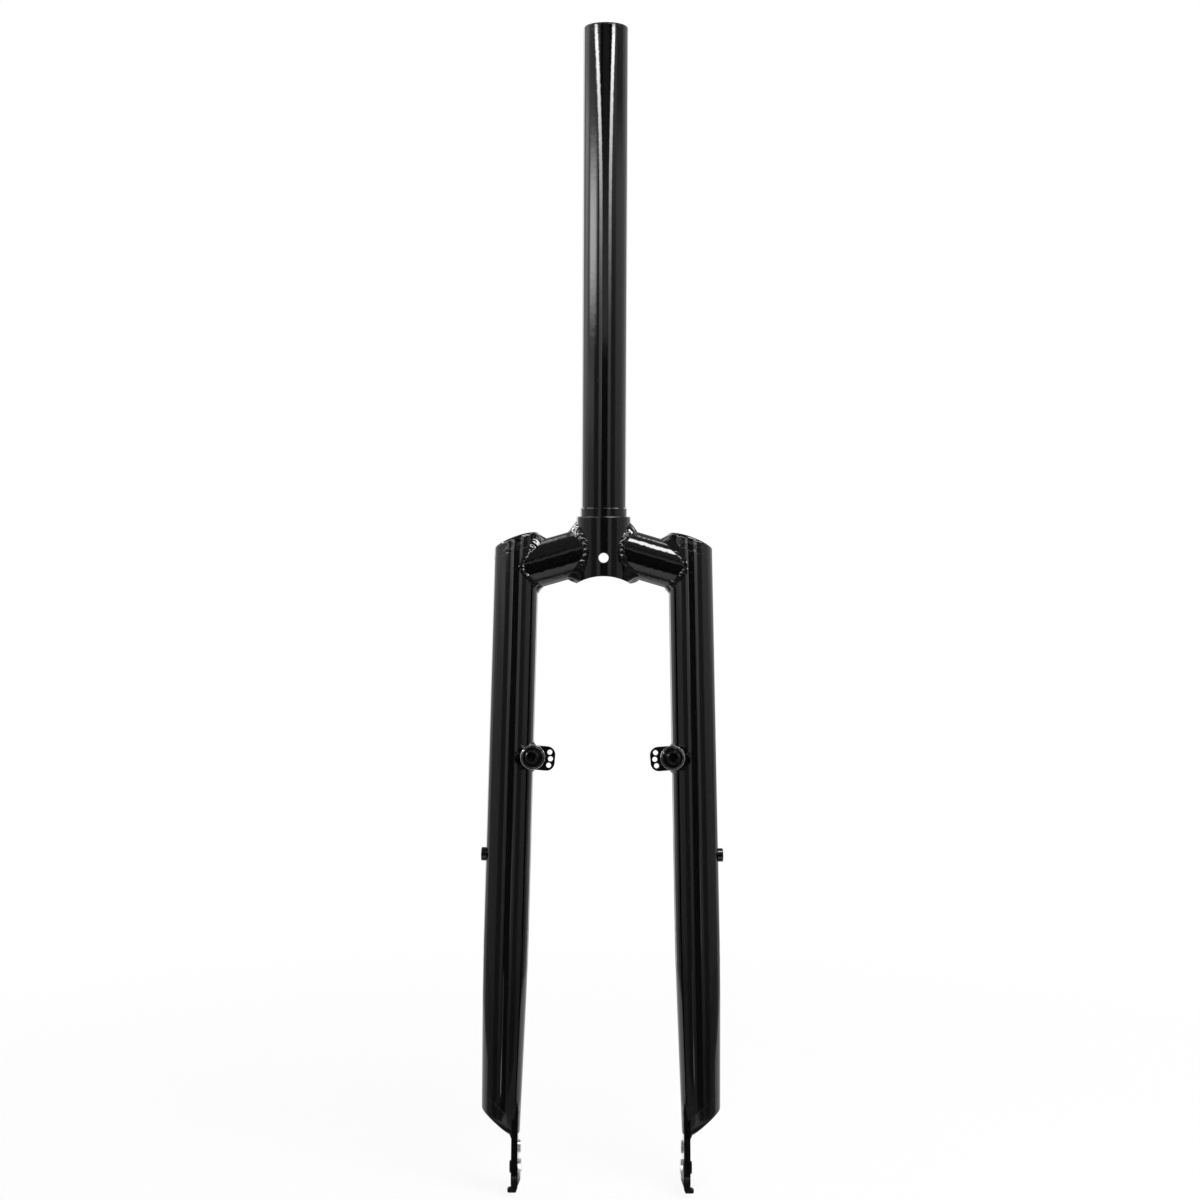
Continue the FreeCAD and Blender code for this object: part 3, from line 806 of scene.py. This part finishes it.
def cloth_level(turn, height):
    """How bright the wall is, by the turn from the lens in degrees and the height in metres."""
    away = abs(turn - GAP_CENTRE)
    return (GAP_LEVEL + front_strips(turn, away, height) + side_cloths(turn, away, height)
            + back_cloth(away, height) + thin_lines(turn, height))


def turn_at(u):
    return 360 * u - 180


def wall_place(u, v):
    turn = math.radians(turn_at(u))
    return (TENT_RADIUS * math.sin(turn), -TENT_RADIUS * math.cos(turn), FLOOR + v * TENT_HEIGHT)


def wall_level(u, v):
    return cloth_level(turn_at(u), FLOOR + v * TENT_HEIGHT)


tent_wall = glowing_sheet("tent_wall", 132, 360, wall_place, wall_level)
tent_wall.visible_diffuse = False
print("tent wall", TENT_RADIUS, "m from the fork")

# %% [markdown]
# ### Tent roof
# The roof is dim cloth with one lamp to the right of the lens and a strip behind the fork on each side,
# which light the tops of the arms, beads and caps.


# %% Tent roof
def roof_place(u, v):
    return (TENT_RADIUS * (2 * u - 1), TENT_RADIUS * (2 * v - 1), FLOOR + TENT_HEIGHT)


def roof_level(u, v):
    x, y, _ = roof_place(u, v)
    lamp = 21 * band(x, 0.1, 0.7, 0.05) * band(y, -0.60, -0.27, 0.05)
    left_strip = 2.4 * band(x, -0.7, -0.31, 0.03) * band(y, 0.2, 0.7, 0.05)
    right_strip = 4.4 * band(x, 0.31, 0.7, 0.03) * band(y, 0.2, 0.46, 0.05)
    return 0.2 + 0.08 * step_up(x, -0.2, 0.2) + lamp + left_strip + right_strip


glowing_sheet("tent_roof", 100, 100, roof_place, roof_level)
print("roof", TENT_HEIGHT, "m above the floor")

# %% [markdown]
# ### Floor cloth
# What the paint mirrors below is a pale round table, dark where the legs stand and shade it, and beyond
# its edge the foot of the wall. Like the wall, it is only for the reflections.

# %% Floor cloth
TABLE_RADIUS = 0.62
TABLE_LEVEL = 0.95
TABLE_FRONT_CUT = 0.10
FOOT_SHADE_REACH = 0.11
CLOTH_LIFT = 0.001
MIDDLE_HOLE = 0.002  # share of the cloth's radius, so that its first ring isn't one point


def cloth_place(u, v):
    turn = math.radians(turn_at(u))
    reach = TENT_RADIUS * (MIDDLE_HOLE + (1 - MIDDLE_HOLE) * v)
    return (reach * math.sin(turn), -reach * math.cos(turn), FLOOR + CLOTH_LIFT)


def cloth_on_floor(u, v):
    x, y, _ = cloth_place(u, v)
    to_foot = math.hypot(abs(x) - LEG_FOOT.x, y - LEG_FOOT.y)
    in_front = 1 - step_up(y, LEG_FOOT.y - 0.01, LEG_FOOT.y + 0.03)
    shaded = max(in_front, step_up(abs(x), LEG_FOOT.x + 0.001, LEG_FOOT.x + 0.012))
    table = TABLE_LEVEL * (1 - 0.93 * math.exp(-(to_foot / FOOT_SHADE_REACH) ** 2) * shaded)
    table *= 1 - 0.75 * step_up(abs(x), 0.11, 0.18) * in_front
    edge = TABLE_RADIUS - TABLE_FRONT_CUT * (1 - step_up(abs(turn_at(u)), 50, 90))
    beyond = step_up(math.hypot(x, y), edge - 0.05, edge + 0.03)
    return table + (0.75 * cloth_level(turn_at(u), FLOOR) - table) * beyond


floor_cloth = glowing_sheet("floor_cloth", 90, 240, cloth_place, cloth_on_floor)
floor_cloth.visible_diffuse = False
print("table", TABLE_RADIUS, "m in radius")

# %% [markdown]
# ## Floor and background
# The floor is pale and plain. For the camera, and for what the paint mirrors, it is mostly white light of
# its own, with enough ordinary white in the mix near the fork to keep a faint shadow. The world behind it
# is white in the same way, and a soft grey for the light that it sheds, so that a matte colour put here
# renders about as it is written.

# %% Floor and background
FLOOR_HALF = 30
SHADOW_SHARE = 0.09
SHADOW_FADES, SHADOW_ENDS = 0.45, 0.9  # metres from the origin
ROOM_LIGHT = 0.6


def seen_directly(tree):
    """1 for what the camera sees, and for what is mirrored or seen through, else 0."""
    path = add_node(tree, "ShaderNodeLightPath")
    mirror = add_node(tree, "ShaderNodeMath", operation="MAXIMUM")
    tree.links.new(path.outputs["Is Glossy Ray"], mirror.inputs[0])
    tree.links.new(path.outputs["Is Transmission Ray"], mirror.inputs[1])
    seen = add_node(tree, "ShaderNodeMath", operation="MAXIMUM")
    tree.links.new(path.outputs["Is Camera Ray"], seen.inputs[0])
    tree.links.new(mirror.outputs["Value"], seen.inputs[1])
    return seen.outputs["Value"]


floor_white, tree, output = new_material("floor_white")
matte = add_node(tree, "ShaderNodeBsdfDiffuse", Color=(0.9, 0.9, 0.9, 1))
own_light = add_node(tree, "ShaderNodeEmission", Color=(1, 1, 1, 1), Strength=1.0)
spot = add_node(tree, "ShaderNodeTexCoord")
reach = add_node(tree, "ShaderNodeVectorMath", operation="LENGTH")
tree.links.new(spot.outputs["Object"], reach.inputs[0])
shadow = map_range(tree, reach.outputs["Value"], SHADOW_FADES, SHADOW_ENDS, SHADOW_SHARE, 0.0)
blend = add_node(tree, "ShaderNodeMixShader")
tree.links.new(shadow, blend.inputs["Fac"])
tree.links.new(own_light.outputs["Emission"], blend.inputs[1])
tree.links.new(matte.outputs["BSDF"], blend.inputs[2])
choice = add_node(tree, "ShaderNodeMixShader")
tree.links.new(seen_directly(tree), choice.inputs["Fac"])
tree.links.new(matte.outputs["BSDF"], choice.inputs[1])
tree.links.new(blend.outputs["Shader"], choice.inputs[2])
tree.links.new(choice.outputs["Shader"], output.inputs["Surface"])
corners = [(x * FLOOR_HALF, y * FLOOR_HALF, FLOOR) for x, y in ((-1, -1), (1, -1), (1, 1), (-1, 1))]
floor = make_object("floor", corners, [(0, 1, 2, 3)], floor_white)

world = bpy.data.worlds.new("white_room")
bpy.context.scene.world = world
world.use_nodes = True
tree = world.node_tree
tree.nodes.clear()
sky = add_node(tree, "ShaderNodeBackground", Color=(1, 1, 1, 1))
tree.links.new(map_range(tree, seen_directly(tree), 0.0, 1.0, ROOM_LIGHT, 1.0), sky.inputs["Strength"])
world_output = tree.nodes.new("ShaderNodeOutputWorld")
tree.links.new(sky.outputs["Background"], world_output.inputs["Surface"])
print("floor and world ready")
